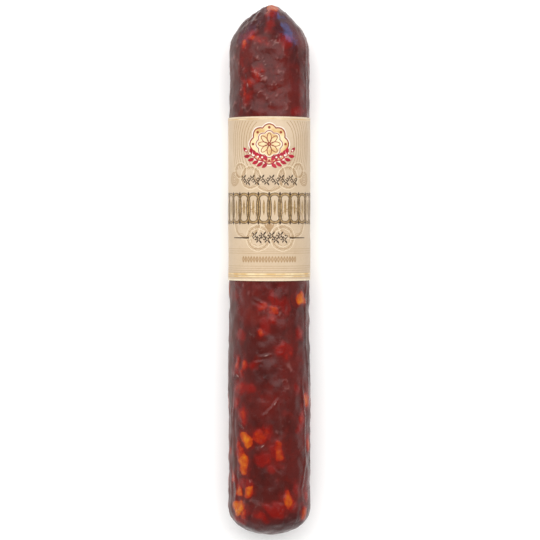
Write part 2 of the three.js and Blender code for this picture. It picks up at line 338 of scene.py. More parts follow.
# Short folds in the casing, raised in the relief and painted paler near their crests as a highlight: place
# along and across, length, turn in degrees from straight along, and height.
seen_folds = (
    (140.4, -11.4, 6.6, 43, 0.35), (141.8, -7.4, 7.6, 31, 0.4), (137.6, -12.4, 5, 50, 0.3),
    (139, -8.4, 6, 52, 0.3), (144.4, -9.4, 5, 40, 0.3), (108.8, -3.6, 4, 70, 0.35),
    (109.4, -12.8, 4, -35, 0.3), (103.4, -12, 4, -25, 0.3), (-8.6, -17.4, 4, -55, 0.3),
    (-17, -5.6, 6, -60, 0.35), (-36, -9.6, 6, -40, 0.2), (-47.2, -2.4, 6, 75, 0.35),
    (-50.8, -7, 4, 80, 0.25), (-54, -6.2, 4, 20, 0.25), (-59, -18, 3.4, -50, 0.3),
    (-75.8, 1.8, 11, 40, 0.4), (-79, -0.6, 6, 48, 0.3), (-87.6, -14.8, 5, -35, 0.3),
    (-113.6, 4.6, 5, -30, 0.3), (-98, -4, 3, 40, 0.25), (-118, -10.6, 4, -30, 0.25),
)
far_away = 9.0
fold_away = np.full(skin.shape[:2], far_away)
fold_relief = np.zeros(skin.shape[:2])
for along, across, long, turned, height in seen_folds:
    row, column = on_top(along, across)
    offset = (skin - skin[row, column])[..., :2]
    offset[..., 0] += 0.35 * np.sin(offset[..., 1] * 6 / long + long)
    cos, sin = np.cos(np.radians(turned)), np.sin(np.radians(turned))
    u = (offset[..., 1] * cos + offset[..., 0] * sin) / (long / 2)
    v = offset[..., 0] * cos - offset[..., 1] * sin
    away = np.hypot(v, np.maximum(np.abs(u) - 1, 0) * long / 2) + 0.35 * smooth(0.1, 1, np.abs(u))
    away[normals[..., 2] < 0] = far_away
    trough = np.exp(-(((v + 1.3) / 0.9) ** 2) - u**4)
    fold_relief += height * (np.exp(-((away / 0.75) ** 2)) - 0.5 * trough * (normals[..., 2] > 0))
    fold_away = np.minimum(fold_away, away)

# Long wavy folds run down both sides, and where they show they are painted paler near their crests as a
# highlight. Each has a turn from the top in degrees, a height, and a start for its waves, and comes and
# goes along the sausage.
for turned, height, start in ((-58, 0.4, 0.0), (-68, 0.3, 2.0), (57, 0.35, 4.0), (66, 0.4, 1.0),
                              (-128, 0.3, 3.0), (118, 0.35, 5.0), (178, 0.2, 0.5)):
    wander = 0.05 * np.sin(y / 11 + start) + 0.025 * np.sin(y / 4.3 + 2 * start)
    away = (np.remainder(turn - np.radians(turned) - wander + np.pi, 2 * np.pi) - np.pi) * body_radius
    there = smooth(-0.2, 0.5, np.sin(y / 23 + 3 * start))
    there = there * smooth(half_length - 12, half_length - 30, np.abs(y))
    trough = np.exp(-(((away - 1.9) / 1.2) ** 2))
    fold_relief += height * there * (np.exp(-((away / 0.8) ** 2)) - 0.6 * trough)
    fold_away = np.minimum(fold_away, np.abs(away) + 0.2 + far_away * (there < 0.3))

# Broad lumps over the meat, dents, long creases that follow the sausage, and patches of fine wrinkles, each
# with broken ridges beside it. The wrinkles are thickest over the labelled end, left of the middle.
lumps = 0.2 * waves(skin, 24, 40, rng, (1, 1.6, 1)) + 0.1 * waves(skin, 10, 50, rng)
dents = waves(skin, 6, 60, rng)
crease_lines = waves(skin, 8, 70, rng, (1, 5, 1))
creases = np.exp(-((crease_lines / 0.12) ** 2)) * smooth(0.1, 1.4, waves(skin, 30, 30, rng))
wrinkle_lines = waves(skin, 5, 70, rng, (1, 1.4, 1))
wrinkle_patches = 0.7 * smooth(0.3, 1.6, waves(skin, 22, 30, rng))
gathered_top = smooth(band_high[1] + 2, band_high[1] + 10, y) * smooth(15, 6, skin[..., 0] + 1.5)
gathered_top *= smooth(136, 128, y)
wrinkle_patches = np.maximum(wrinkle_patches, gathered_top * (normals[..., 2] > 0))
wrinkles = np.exp(-((wrinkle_lines / 0.22) ** 2)) * wrinkle_patches
ridges = np.exp(-(((wrinkle_lines - 0.8) / 0.2) ** 2)) * wrinkle_patches * smooth(-0.4, 0.7, dents)
dent, crease_depth, ridge_height, wrinkle_depth, fat_height = 0.07, 0.16, 0.2, 0.14, 0.2
relief = lumps + dent * dents - crease_depth * creases + ridge_height * ridges
relief += fold_relief - wrinkle_depth * wrinkles
relief += fat_height * smooth(-0.5, 1.2, edge) * (1 - depth)

# Along both sides a band with an uneven edge is painted with a grey sheen that stands for reflections, and
# the film is duller there. The band starts so many degrees from the top, and on the -X side past the label
# it reaches higher.
side_turn = np.degrees(np.remainder(turn + np.pi, 2 * np.pi) - np.pi)
uneven = 5 * waves(skin, 12, 40, rng, (1, 3, 1)) + 2 * waves(skin, 4, 40, rng, (1, 3, 1))
left_start, right_start, reaches_higher = 60, 77, 14
by_label = smooth(band_high[1] - 5, band_high[1] + 5, y) * smooth(136, 122, y)
starts = np.where(side_turn < 0, left_start - reaches_higher * by_label, right_start)
from_top = np.abs(side_turn) + uneven
slack = smooth(starts - 3, starts + 5, from_top) * smooth(104, 84, from_top)

# The way along the top of the rings from a tail's cut edge tells how far a ring is from the nearer neck.
ring_steps = np.linalg.norm(np.diff(skin[:, 0], axis=0), axis=1)
travelled = np.concatenate([[0], np.cumsum(ring_steps)])[:, None]
from_neck = np.minimum(travelled, travelled[-1] - travelled) - neck_length


def pleats(end, count, deepest, seed, long_side):
    """Folds where the casing is gathered. Each keeps to one place round the end and is a cusp,
    -exp(-angle / width), that sets in at the neck and dies out past its own length from it. Those near
    long_side, an angle round the ring, are the longest and deepest."""
    own = np.random.default_rng(seed)
    total = np.zeros(skin.shape[:2])
    for place in (np.arange(count) + own.uniform(-0.3, 0.3, count)) * 2 * np.pi / count:
        strong = np.exp(-(np.remainder(place - long_side + np.pi, 2 * np.pi) - np.pi) ** 2 / 0.5)
        length = own.uniform(12, 22) * (1 + 0.9 * strong)
        drift = own.normal(0, 0.01)
        away = np.remainder(turn - place - drift * from_neck + np.pi, 2 * np.pi) - np.pi
        width = own.uniform(0.04, 0.08)
        dies_out = np.exp(-(np.maximum(from_neck, 0) / length) ** 4)
        total += (0.45 + strong) * np.exp(-np.abs(away) / width) * dies_out
    on_this_end = smooth(0, 25, end["outward"] * y - (half_length - 42))
    return -deepest * total * smooth(0, 14, from_neck) * on_this_end


gathers = pleats(upper_end, 34, 0.75, 5, np.radians(312)) + pleats(lower_end, 32, 0.3, 8, np.radians(180))
relief += gathers

# A rounded fold stands up just right of the labelled end's tip, with a deep crease on its left. Both are
# only on the casing's upper side.
tip_y = half_length - 4.5
tip_fold_x, tip_crease_depth = 3, 0.9
upper_side = smooth(-0.3, 0.3, normals[..., 2])
relief += upper_side * np.exp(-(((skin[..., 0] - tip_fold_x) / 3.4) ** 4) - ((y - tip_y) / 4.6) ** 2)
crease_x = skin[..., 0] + 1.6 + 0.1 * (y - tip_y)
relief -= tip_crease_depth * upper_side * np.exp(-((crease_x / 0.9) ** 2) - ((y - tip_y) / 6) ** 2)

# Under the label the casing is held smooth, and on the neck only fine pleats are left of all this.
neck_pleats, neck_pleat_height = 17, 0.13
on_neck = smooth(3, -1, from_neck)
relief *= smooth(-1, 4, past_label) * (1 - on_neck)
relief += on_neck * neck_pleat_height * np.cos(neck_pleats * turn + 1.5 * np.sin(3 * turn))
skin = skin + normals * relief[..., None]

# The cut edge of the tail is uneven.
ragged = 0.3 * np.sin(5 * turn) + 0.18 * np.sin(11 * turn + 1)
skin[..., 2] += smooth(-neck_length + 2, -neck_length, from_neck) * ragged

# The sausage lies on its flat strip, and its underside is a little higher under the label.
lift = (paper + paper_gap) * smooth(6, 0.3, past_label)
skin[..., 2] = np.maximum(skin[..., 2], lift)


def closed_grid(grid, poles=True):
    """Points, quads and triangles of a grid whose second direction closes on itself. Its first direction
    ends in a pole at each end, or closes on itself too. All are turned round if their signed volume is
    negative."""
    rows, columns = grid.shape[:2]
    points = grid.reshape(-1, 3)
    here = np.arange(rows * columns).reshape(rows, columns)
    if not poles:
        here = np.vstack([here, here[:1]])
    there = np.roll(here, -1, axis=1)
    quads = np.stack([here[:-1], there[:-1], there[1:], here[1:]], axis=-1).reshape(-1, 4)
    fans = np.zeros((0, 3), int)
    if poles:
        points = np.vstack([points, grid[0].mean(axis=0), grid[-1].mean(axis=0)])
        fans = np.vstack([np.column_stack([there[0], here[0], np.full(columns, rows * columns)]),
                          np.column_stack([here[-1], there[-1], np.full(columns, rows * columns + 1)])])
    triangles = points[np.vstack([quads[:, :3], quads[:, [0, 2, 3]], fans])] - points.mean(axis=0)
    if np.linalg.det(triangles).sum() < 0:
        quads, fans = quads[:, ::-1], fans[:, ::-1]
    return points, quads, fans


def mesh_piece(name, points, faces, smooth_faces=True):
    """An object at the origin, made of points in millimetres and of faces."""
    mesh = bpy.data.meshes.new(name)
    mesh.from_pydata(points * MM, [], faces)
    mesh.polygons.foreach_set("use_smooth", np.full(len(mesh.polygons), smooth_faces))
    piece = bpy.data.objects.new(name, mesh)
    bpy.context.scene.collection.objects.link(piece)
    return piece


def closed_mesh(name, grid, poles=True, smooth_faces=True):
    """An object whose surface is one closed grid."""
    points, quads, fans = closed_grid(grid, poles)
    return mesh_piece(name, points, quads.tolist() + fans.tolist(), smooth_faces)


def write_attributes(piece, **attributes):
    """Numbers for each vertex, by name; the two poles take those of the first and the last ring."""
    for name, values in attributes.items():
        layer = piece.data.attributes.new(name, "FLOAT", "POINT")
        numbers = np.append(values.ravel(), (values[0, 0], values[-1, 0]))
        layer.data.foreach_set("value", numbers.astype(np.float32))


sausage = closed_mesh("stuffed_casing", skin)
uncovered = smooth(-2, 3, past_label)
off_the_tips = smooth(half_length - 4, half_length - 20, np.abs(y))
pleat_shade = 1.6
# One of these carries a painted grey sheen, standing for reflections, along both sides.
# One of these carries a painted highlight on the ridges of the wrinkles.
# One of these carries painted shade for the creases, wrinkles and pleats into the casing's colour.
write_attributes(
    sausage, fat_edge=edge, fat_tone=tone, fat_depth=depth, fold_away=fold_away,
    crease=np.maximum(np.maximum(creases, wrinkles) * uncovered, -pleat_shade * gathers),
    ridge=ridges * uncovered, slack=slack * off_the_tips, from_neck=from_neck + 0 * y)


def linear(hex_code):
    """An sRGB hex colour as linear red, green, blue and alpha."""
    part = np.array([int(hex_code[i:i + 2], 16) for i in (1, 3, 5)]) / 255
    return (*np.where(part <= 0.04045, part / 12.92, ((part + 0.055) / 1.055) ** 2.4), 1.0)


def add(tree, kind, inputs=None, stops=(), **settings):
    """Adds a node with its settings, and a colour ramp's stops. An input given as a node takes that node's
    first output in use, one given as a socket is linked to it, and any other value is set."""
    node = tree.nodes.new(kind)
    for key, value in settings.items():
        setattr(node, key, value)
    for key, value in (inputs or {}).items():
        if isinstance(value, bpy.types.Node):
            value = next(output for output in value.outputs if output.enabled)
        if isinstance(value, bpy.types.NodeSocket):
            tree.links.new(value, node.inputs[key])
        else:
            node.inputs[key].default_value = value
    for _ in stops[2:]:
        node.color_ramp.elements.new(1.0)
    for number, (place, colour) in enumerate(stops):
        node.color_ramp.elements[number].position = place
        node.color_ramp.elements[number].color = linear(colour)
    return node


def blank_material(name):
    """A material and its node tree, with nothing in it yet."""
    material = bpy.data.materials.new(name)
    material.use_nodes = True
    material.node_tree.nodes.clear()
    return material, material.node_tree


def noise(tree, place, size_mm, detail=3.0, distortion=0.0):
    """Noise in clouds of about the given size."""
    return add(tree, "ShaderNodeTexNoise", {
        "Vector": place, "Scale": 1 / (size_mm * MM), "Detail": detail, "Distortion": distortion})


def remap(tree, value, low, high, to_low, to_high, kind="LINEAR"):
    """The value, with low to high carried to to_low to to_high, and held past them."""
    return add(tree, "ShaderNodeMapRange", {
        "Value": value, "From Min": low, "From Max": high, "To Min": to_low, "To Max": to_high},
        interpolation_type=kind)


def eased(tree, value, low, high, most=1.0):
    """0 where the value is low and the most where it is high, with a smooth step between them."""
    return remap(tree, value, low, high, 0.0, most, "SMOOTHSTEP")


def combine(tree, operation, first, second, **settings):
    """Two numbers added or multiplied, or the larger of the two."""
    return add(tree, "ShaderNodeMath", {0: first, 1: second}, operation=operation, **settings)


def tinted(tree, share, colour, tint):
    """The colour with a share of a hex colour mixed in."""
    return add(tree, "ShaderNodeMix", {0: share, 6: colour, 7: linear(tint)}, data_type="RGBA")


def give_surface(tree, inputs):
    """A principled shader with these inputs, as the material's surface."""
    shader = add(tree, "ShaderNodeBsdfPrincipled", inputs)
    add(tree, "ShaderNodeOutputMaterial", {"Surface": shader})


def casing_over_meat():
    """Smoked fibrous casing drawn tight over dark cured meat. The casing is a thin, moist-looking film that
    mirrors its surroundings at a glance, and what shows through it is mahogany lean, blotched with red and
    duskier towards the gathered ends, and fat stained orange by paprika, red where it thins out at its
    edges. A painted grey sheen stands for reflections in long streaks and along both sides, where the film
    is also duller; painted shade darkens its creases, wrinkles and gathered pleats; painted highlights make
    its folds and the ridges of its wrinkles paler; and it is brown on the empty neck."""
    material, tree = blank_material("fibrous_casing_over_cured_meat")
    place = add(tree, "ShaderNodeTexCoord").outputs["Object"]
    edge_mm, tone_here, depth_here, fold_mm, crease_here, ridge_here, slack_here, neck_mm = (
        add(tree, "ShaderNodeAttribute", attribute_name=name).outputs["Fac"] for name in (
            "fat_edge", "fat_tone", "fat_depth", "fold_away", "crease", "ridge", "slack", "from_neck"))

    # Lean, in broad mahogany clouds with redder and darker blotches a few millimetres across. It is duskier
    # towards the gathered ends, and redder beside a piece of fat.
    lean = add(tree, "ShaderNodeValToRGB", {"Fac": noise(tree, place, 22, distortion=0.4)}, stops=(
        (0.3, "#421310"), (0.45, "#4e1713"), (0.58, "#591915"), (0.75, "#651e17")))
    for share, tint in (
            (eased(tree, noise(tree, place, 6), 0.5, 0.74, 0.34), "#74180f"),
            (eased(tree, noise(tree, place, 9, 4.0), 0.5, 0.75, 0.7), "#38120f"),
            (eased(tree, neck_mm, 46.0, 26.0, 0.5), "#2c0f13"),
            (eased(tree, edge_mm, -2.0, 0.0, 0.6), "#70120c")):
        lean = tinted(tree, share, lean, tint)

    # Fat, yellower towards the middle of a piece.
    marbling = noise(tree, place, 4, 2.0)
    shade = combine(tree, "ADD", remap(tree, marbling, 0.3, 0.7, -0.3, 0.16),
                    remap(tree, edge_mm, 0.0, 2.0, -0.36, 0.0))
    fat = add(tree, "ShaderNodeValToRGB", {"Fac": combine(tree, "ADD", shade, tone_here)}, stops=(
        (0.0, "#74120c"), (0.2, "#84180b"), (0.4, "#94260a"), (0.6, "#a23b0a"), (0.8, "#b0500b"),
        (1.0, "#bd6810")))
    sharp, faint = eased(tree, edge_mm, -0.25, 0.45), eased(tree, edge_mm, -1.2, 1.8, 0.75)
    shown = add(tree, "ShaderNodeMix", {0: depth_here, 2: sharp, 3: faint}, data_type="FLOAT")
    colour = add(tree, "ShaderNodeMix", {0: shown, 6: lean, 7: fat}, data_type="RGBA")

    # Painted shade darkens creases, wrinkles and the gathered pleats; a painted grey sheen, standing for
    # reflections, lies in streaks and along both sides; painted highlights make ridges and folds paler; and
    # the empty neck is brown.
    stretched = add(tree, "ShaderNodeVectorMath", {0: place, 1: (1.0, 0.16, 1.0)}, operation="MULTIPLY")
    streaks = noise(tree, stretched, 7, 4.0, 0.6)
    slack_part = combine(tree, "MULTIPLY", remap(tree, streaks, 0.3, 0.6, 0.25, 0.65), slack_here)
    painted_grey_sheen = combine(tree, "MAXIMUM", eased(tree, streaks, 0.5, 0.78, 0.2), slack_part)
    # Noise that breaks up the painted highlight on the folds.
    glint_breakup = eased(tree, marbling, 0.42, 0.62)
    for share, tint in (
            (combine(tree, "MULTIPLY", crease_here, 0.4), "#2c1210"),
            (painted_grey_sheen, "#54403b"),
            (combine(tree, "MULTIPLY", ridge_here, 0.46), "#a0706a"),
            (combine(tree, "MULTIPLY", eased(tree, fold_mm, 0.55, 0.1, 0.6), glint_breakup), "#a98b82"),
            (eased(tree, neck_mm, 4.0, -1.0, 0.8), "#7d4a38")):
        colour = tinted(tree, share, colour, tint)

    # The film is glossy, unevenly so in clouds of about 5 mm, and duller where the grey sheen is painted.
    # It has a fine fibrous grain of about a millimetre and puckers of about three.
    rough = remap(tree, noise(tree, place, 5), 0.3, 0.7, 0.18, 0.34)
    rough = combine(tree, "ADD", rough, combine(tree, "MULTIPLY", painted_grey_sheen, 0.4), use_clamp=True)
    grain = noise(tree, place, 1.2)
    bump = add(tree, "ShaderNodeBump", {"Height": grain, "Strength": 0.6, "Distance": 0.05 * MM})
    puckers = noise(tree, place, 3.2, 2.0, 0.8)
    bump = add(tree, "ShaderNodeBump", {"Height": puckers, "Strength": 0.6, "Distance": 0.16 * MM,
                                        "Normal": bump})
    give_surface(tree, {"Base Color": colour, "Roughness": rough, "IOR": 1.45, "Specular IOR Level": 0.26,
                        "Normal": bump})
    return material


sausage.data.materials.append(casing_over_meat())
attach(sausage, "root")
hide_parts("sausage")


# ---- The label ----
# A strip of satin-coated cream paper, wound once round the sausage and glued where its ends overlap, low on
# the +X side. It is pressed flat against the table underneath.

lap_from = np.radians(128.9)
lap_to = np.radians(151.1)
print_height = 0.08


def on_label(round_it, along, lift=0.0, outer=1.0):
    """A place on the paper: millimetres round it from its top towards +X, along Y, and a lift outwards. The
    paper's radius has faint swells, cosines of three and five times the angle. Where its ends overlap, the
    outer one is a sheet's thickness higher, and sinks back to the radius past the end beneath it. The
    underside is flat, with room for the print between it and the table."""
    angle = round_it / band_radius
    turned = np.remainder(angle, 2 * np.pi)
    lift = lift + outer * paper * (turned > lap_from) * smooth(lap_to, lap_to - 0.07, turned)
    swell = 0.04 * np.cos(3 * angle + along / 5) + 0.04 * np.cos(5 * angle - along / 7) - 0.04
    radius = band_radius + lift + swell
    height = np.maximum(axis_height + radius * np.cos(angle), print_height - lift)
    return np.stack(np.broadcast_arrays(radius * np.sin(angle), along, height), axis=-1)


def wound_paper(rows=72, inner_rows=16, columns=208):
    """Both faces of the strip, as one loop across it carried round the sausage. Two columns stand close
    together at the cut edge of its outer end."""
    turned = np.sort(np.append(np.arange(columns) * 2 * np.pi / columns, (lap_from, lap_from + 1e-3)))
    ends = (band_high[1], band_low[1])
    along = np.concatenate([np.linspace(*ends, rows), np.linspace(*ends[::-1], inner_rows)])
    outer = np.repeat([1.0, 0.0], [rows, inner_rows])
    return on_label(turned[:, None] * band_radius, along[None], (outer - 1) * paper, outer)


def satin_paper():
    """Cream paper with a satin coating. It is slightly mottled, in clouds of about 18 mm and in specks of
    fibre of about 1 mm, which are drawn coarser than real ones so that they show."""
    material, tree = blank_material("satin_coated_cream_paper")
    place = add(tree, "ShaderNodeTexCoord").outputs["Object"]
    clouds = noise(tree, place, 18, 4.0)
    tint = add(tree, "ShaderNodeValToRGB", {"Fac": clouds}, stops=(
        (0.3, "#c0a88b"), (0.5, "#c5ae91"), (0.7, "#ccb69b")))
    fibres = noise(tree, place, 0.9)
    colour = tinted(tree, remap(tree, fibres, 0.55, 0.75, 0.0, 0.35), tint, "#ae9277")
    rough = remap(tree, clouds, 0.0, 1.0, 0.42, 0.56)
    bump = add(tree, "ShaderNodeBump", {"Height": fibres, "Strength": 0.4, "Distance": 0.03 * MM})
    give_surface(tree, {"Base Color": colour, "Roughness": rough, "IOR": 1.48, "Specular IOR Level": 0.35,
                        "Normal": bump})
    return material


label = closed_mesh("paper_label", wound_paper(), poles=False, smooth_faces=False)
label.data.materials.append(satin_paper())
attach(label, "root")
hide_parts("label_band")


# ---- The label's print ----
# Screen-printed ornament: thick satin inks that stand a few hundredths of a millimetre proud of the paper.
# It is all line work and plain shapes, in an antique and a bright gold, sepia, russet, crimson and white,
# over fine lines in two tints of the paper, tan and pale cream.

def stroke(path, width, joined=False):
    """The two edges of a pen line: the path moved by half the width along its normal, both ways."""
    step = np.roll(path, -1, axis=0) - np.roll(path, 1, axis=0) if joined else np.gradient(path, axis=0)
    normal = np.column_stack([-step[:, 1], step[:, 0]])
    normal /= np.maximum(np.linalg.norm(normal, axis=1, keepdims=True), 1e-9)
    half = np.broadcast_to(width, len(path))[:, None] / 2
    return path + normal * half, path - normal * half, joined


def loop_path(middle, half_round, half_along, corner=2.0, count=72, start=0.0, share=1.0):
    """A superellipse, |x/a|^corner + |y/b|^corner = 1, or the share of it that begins at an angle."""
    angle = start + np.linspace(0, 2 * np.pi * share, count, endpoint=share < 1)
    curve = np.column_stack([np.cos(angle), np.sin(angle)])
    return np.array(middle) + np.sign(curve) * np.abs(curve) ** (2 / corner) * [half_round, half_along]


def leaf(foot, length, lean, width, bend=0.0, count=12):
    """A leaf: a line from its foot that leans, in radians from +X, and bends, as wide as a half sine."""
    share = np.linspace(0, 1, count)
    way = lean + bend * (share - 0.5)
    path = foot + np.cumsum(np.column_stack([np.cos(way), np.sin(way)]), axis=0) * length / count
    return stroke(path, width * np.sin(np.pi * share) ** 0.8 + 0.05)


def print_on_label(name, lines, ink, lift):
    """One ink. Each line lies between two edges, and is a closed bar whose top is straight from edge to
    edge, a lift above the paper, and whose underside is sunk in it."""
    points, faces, start = [], [], 0
    for one, other, joined in lines:
        steps = int(np.ceil(np.linalg.norm(one - other, axis=1).max() / 1.1)) + 1
        share = np.linspace(0, 1, steps)[None, :, None]
        face = one[:, None] * (1 - share) + other[:, None] * share
        bar = np.concatenate([on_label(face[..., 0], face[..., 1], lift),
                              on_label(face[:, ::-1, 0], face[:, ::-1, 1], -print_height)], axis=1)
        bar_points, quads, fans = closed_grid(bar, poles=not joined)
        points.append(bar_points)
        faces += (quads + start).tolist() + (fans + start).tolist()
        start += len(bar_points)
    piece = mesh_piece(name, np.vstack(points), faces, smooth_faces=False)
    piece.data.materials.append(ink)
    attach(piece, "root")


def screen_ink(name, light, dark, patch_mm, roughness):
    """Satin ink, laid on unevenly: its two shades are mottled in patches of the given size."""
    material, tree = blank_material(name)
    place = add(tree, "ShaderNodeTexCoord").outputs["Object"]
    patches = noise(tree, place, patch_mm)
    colour = add(tree, "ShaderNodeValToRGB", {"Fac": patches}, stops=((0.38, dark), (0.62, light)))
    rough = remap(tree, patches, 0.0, 1.0, roughness - 0.06, roughness + 0.06)
    give_surface(tree, {"Base Color": colour, "Roughness": rough, "Specular IOR Level": 0.35})
    return material


gold_ink = screen_ink("antique_gold_screen_ink", "#a98b5d", "#846840", 1.2, 0.42)
# The bright gold's two shades, mottled in broad patches, are partly uneven ink and partly a painted sheen
# standing in for gold foil.
bright_gold_ink = screen_ink("bright_gold_screen_ink", "#e4cfa2", "#caa466", 7.0, 0.36)
brown_ink = screen_ink("sepia_screen_ink", "#4f3a28", "#38281b", 0.8, 0.5)
russet_ink = screen_ink("russet_screen_ink", "#93361f", "#7c2819", 2.0, 0.45)
crimson_ink = screen_ink("crimson_screen_ink", "#b0142e", "#970f28", 4.0, 0.4)
tan_ink = screen_ink("tan_screen_ink", "#ab8c66", "#9e7f5a", 1.5, 0.5)
pale_ink = screen_ink("pale_cream_screen_ink", "#dfceb2", "#d6c2a2", 1.5, 0.45)
white_ink = screen_ink("white_screen_ink", "#e9e0d2", "#dfd2c0", 1.5, 0.45)

whole_turn = 2 * np.pi * band_radius
band_top, band_bottom = band_high[1], band_low[1]


def rule(along, width, count=208):
    """A straight line all the way round the label."""
    round_it = np.linspace(-whole_turn / 2, whole_turn / 2, count, endpoint=False)
    one, other, _ = stroke(np.column_stack([round_it, np.full(count, float(along))]), width)
    return one, other, True


# The arcade: interlaced round-headed loops all round the label, each a gold band with sepia outlines round
# a slender leaf. Small sepia leaves stand where the loops cross.
bays = 24
arcade_middle, arcade_half = 34.9, 8.7
pitch = whole_turn / bays
loop_width, outline_width = 1.3, 0.3
arcade, outlines = [], []
for bay in range(bays):
    middle = (bay - bays / 2 + 0.5) * pitch
    loop = loop_path((middle, arcade_middle), 0.6 * pitch, arcade_half - 0.8, corner=2.7, count=96)
    arcade.append(stroke(loop, loop_width, joined=True))
    for side in arcade[-1][:2]:
        outlines.append(stroke(side, outline_width, joined=True))
    arcade.append(leaf((middle, arcade_middle - 4.8), 9.6, np.pi / 2, 1.4))
    for up in (-1, 1):
        crossing = (middle + 0.5 * pitch, arcade_middle + up * (arcade_half - 1.6))
        outlines.append(leaf(crossing, 2.0, up * np.pi / 2, 1.1))


def vine(low, high, along, height, wave):
    """A running vine: a stem that waves as a sine, and from every crest a tendril that curls back over the
    stem in a spiral to a small bud, and two leaves."""
    x = np.linspace(low, high, int((high - low) / 0.2))
    turns = 2 * np.pi * (x - low) / wave
    stem = np.column_stack([x, along + 0.2 * height * np.sin(turns)])
    drawn = [stroke(stem, 0.36 + 0.2 * np.cos(turns) ** 2)]
    curl = np.linspace(0, 1.7 * np.pi, 28)
    reach = 0.2 * height * (1 - 0.7 * curl / curl[-1])
    for number, crest in enumerate(np.arange(low + wave / 4, high, wave / 2)):
        up = -1 if number % 2 else 1
        eye = np.array([crest + 0.18 * wave, along - 0.1 * up * height])
        tendril = np.column_stack([-reach * np.cos(curl), up * reach * np.sin(curl)])
        drawn.append(stroke(eye + tendril, np.linspace(0.5, 0.3, 28)))
        drawn.append(stroke(loop_path(eye + tendril[-1], 0.25, 0.25, count=12), 0.4, joined=True))
        foot = np.array([crest, along + 0.2 * up * height])
        drawn.append(leaf(foot, 0.36 * height, up * np.radians(50), 0.85, 0.8 * up))
        drawn.append(leaf(foot, 0.26 * height, up * np.radians(125), 0.7, -0.8 * up))
    return drawn


vines = vine(-17.0, 17.0, 50.6, 6.6, 5.6) + vine(-9.8, 9.8, 18.6, 7.4, 4.9)
for side in (-1, 1):
    x = np.linspace(11.8, 23.5, 24)
    vines.append(stroke(np.column_stack([side * x, np.full(24, 18.4)]), np.linspace(0.9, 0.45, 24)))

# A scalloped rosette in gold and russet: a flower of eight petals inside eight round lobes.
rosette = np.array((0.0, 70.6))
rosette_turn = np.linspace(0, 2 * np.pi, 160, endpoint=False)
spokes = np.column_stack([np.cos(rosette_turn), np.sin(rosette_turn)])
lobes = spokes * (0.86 + 0.14 * np.abs(np.cos(4 * rosette_turn)))[:, None]
white_edge, gold_edge, gold_within, middle_edge, heart = 12.2, 11.2, 8.0, 6.8, 0.3
rosette_gold = [(rosette + lobes * gold_edge, rosette + lobes * gold_within, True),
                (rosette + lobes * middle_edge, rosette + spokes * heart, True)]
rosette_white = [(rosette + lobes * gold_within, rosette + lobes * middle_edge, True),
                 (rosette + lobes * white_edge, rosette + lobes * gold_edge, True)]
rosette_red = [stroke(rosette + lobes * size, width, joined=True)
               for size, width in ((gold_edge, 0.7), (7.5, 0.5))]
for petal in range(8):
    lean = petal * np.pi / 4
    away = np.array([np.cos(lean), np.sin(lean)])
    across = np.array([-away[1], away[0]])
    round_petal = np.linspace(0, 2 * np.pi, 40, endpoint=False)
    out, wide = 3.5 + 2.6 * np.cos(round_petal), 1.2 * np.sin(round_petal)
    rosette_red.append(stroke(rosette + out[:, None] * away + wide[:, None] * across, 0.42, joined=True))
    rosette_red.append(stroke(loop_path(rosette + 9.3 * away, 0.4, 0.4, count=16), 0.7, joined=True))
rosette_red.append(stroke(loop_path(rosette, 0.6, 0.6, count=24), 0.7, joined=True))

# Two crimson sprays of bay leaves, with white berries, meet under the rosette's middle and reach out past
# its sides.
sprays, berries = [], []
for side in (-1, 1):
    x = np.linspace(0.3, 12.4, 36)
    stem = np.column_stack([side * x, 60.6 + 0.034 * x**2])
    sprays.append(stroke(stem, np.linspace(0.6, 0.4, 36)))
    sprays.append(leaf(stem[-1], 4.4, np.pi / 2 - side * (np.pi / 2 - 0.75), 1.9))
    for foot, slope in zip(stem[2::7], 0.068 * x[2::7]):
        for up in (-1, 1):
            lean = slope + up * 0.85
            sprays.append(leaf(foot, 4.6, np.pi / 2 - side * (np.pi / 2 - lean), 2.0, -0.5 * up * side))
        berries.append(stroke(loop_path(foot + [side * 3.0, 2.6], 0.28, 0.28, count=14), 0.5, joined=True))

# Rings, lobed rings and arcs in the paper's own tints, as engravers fill a ground.
tints, lights = [], []
for side in (-1, 1):
    for radius in (1.0, 2.0, 3.0, 3.8):
        tints.append(stroke(loop_path((side * 23.2, 51.3), radius, radius, count=40), 0.42, joined=True))
    for radius in np.arange(13.4, 27, 1.75):
        arc = loop_path((side * 1.5, 70.5), radius, 1.12 * radius, corner=2.3, count=200,
                        start=-0.3 * np.pi, share=0.3) * [side, 1]
        tints.append(stroke(arc[(arc[:, 1] < band_top - 2.2) & (arc[:, 1] > 56.5)], 0.34))
for middle, radii in (((-6.4, 18.4), (7.4, 6.2, 5.0)), ((7.8, 18.4), (7.4, 6.2, 5.0)),
                      ((-14, 27), (9.4, 8.2)), ((14, 27), (9.4, 8.2)), ((0, 53), (9.4, 8.4)),
                      ((-11, 52), (6.6, 5.6)), ((11, 52), (6.6, 5.6)),
                      ((-18, 56), (4.6, 3.6)), ((18, 56), (4.6, 3.6))):
    for number, radius in enumerate(radii):
        (lights if number % 2 == 0 else tints).append(
            stroke(loop_path(middle, radius, radius, count=80), 0.32, joined=True))
        ring = loop_path(middle, radius, radius, count=80)
        lobed = 0.9 + 0.08 * np.cos(np.arange(80) * np.pi / 5)
        tints.append(stroke(middle + (ring - middle) * lobed[:, None], 0.2, joined=True))

# A slender vase of leaves stands in the middle under the arcade.
vase = [leaf((0.0, 20.6), 7.4, np.pi / 2, 3.0)]
vase += [leaf((0.0, 22.5), 5.0, np.pi / 2 - side * 0.55, 1.0, side * 0.6) for side in (-1, 1)]

